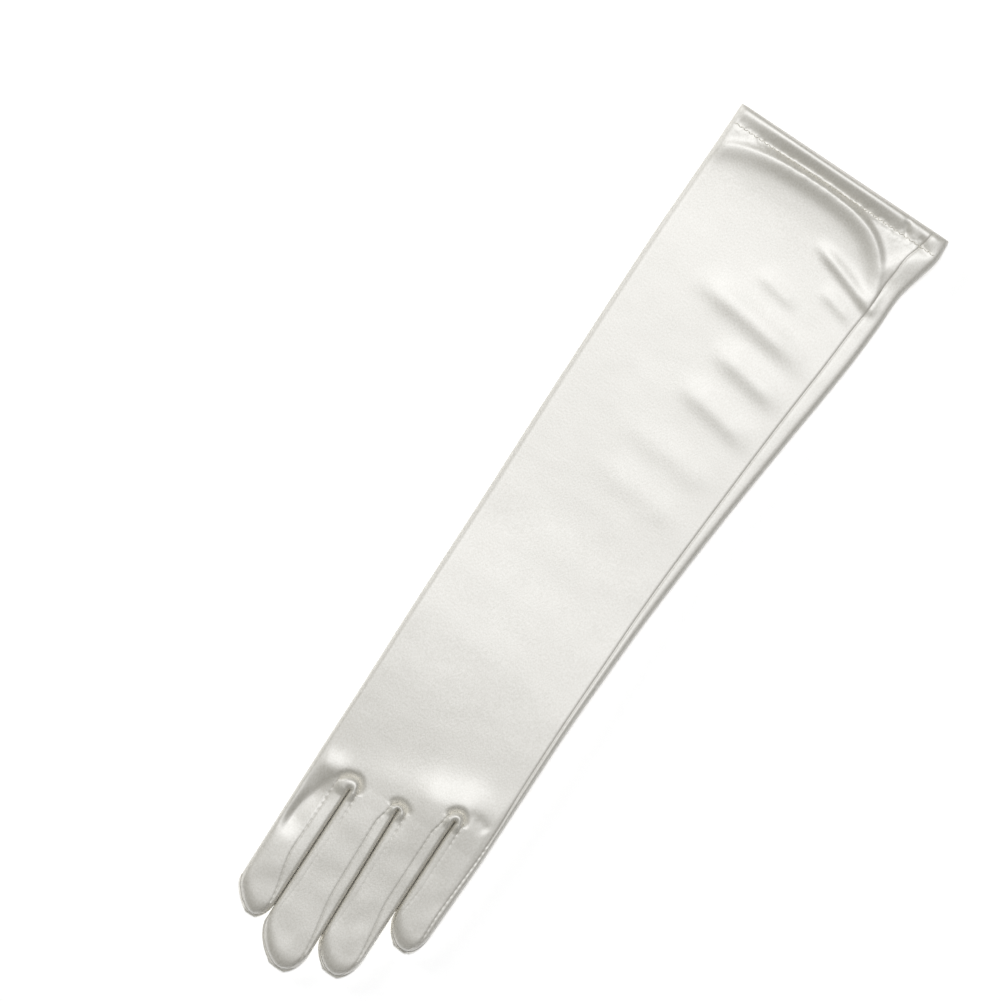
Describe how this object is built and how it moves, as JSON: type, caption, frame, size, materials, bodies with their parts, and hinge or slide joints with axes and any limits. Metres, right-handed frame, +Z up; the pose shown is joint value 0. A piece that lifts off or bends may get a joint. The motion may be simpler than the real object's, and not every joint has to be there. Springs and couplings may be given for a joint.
{
  "type": "bridal glove",
  "caption": "Left elbow-length dress glove of plain stretch satin, lying flat back up, with fourchettes between the fingers, thumb folded under and a turned cuff hem.",
  "frame": {"origin": "middle of the glove's length and width, on the surface that it lies on", "axes": "+Y from the middle fingertip to the cuff, +Z up through the back of the hand, index finger on the -X side and little finger on the +X side"},
  "size_m": [0.0979, 0.3799, 0.0107],
  "materials": {
    "satin": "satin"
  },
  "bodies": {
    "root": {"trank_back": "satin", "trank_palm": "satin", "fourchette_index_middle": "satin", "fourchette_middle_ring": "satin", "fourchette_ring_little": "satin", "thumb": "satin", "cuff_hem": "satin"}
  },
  "joints": []
}
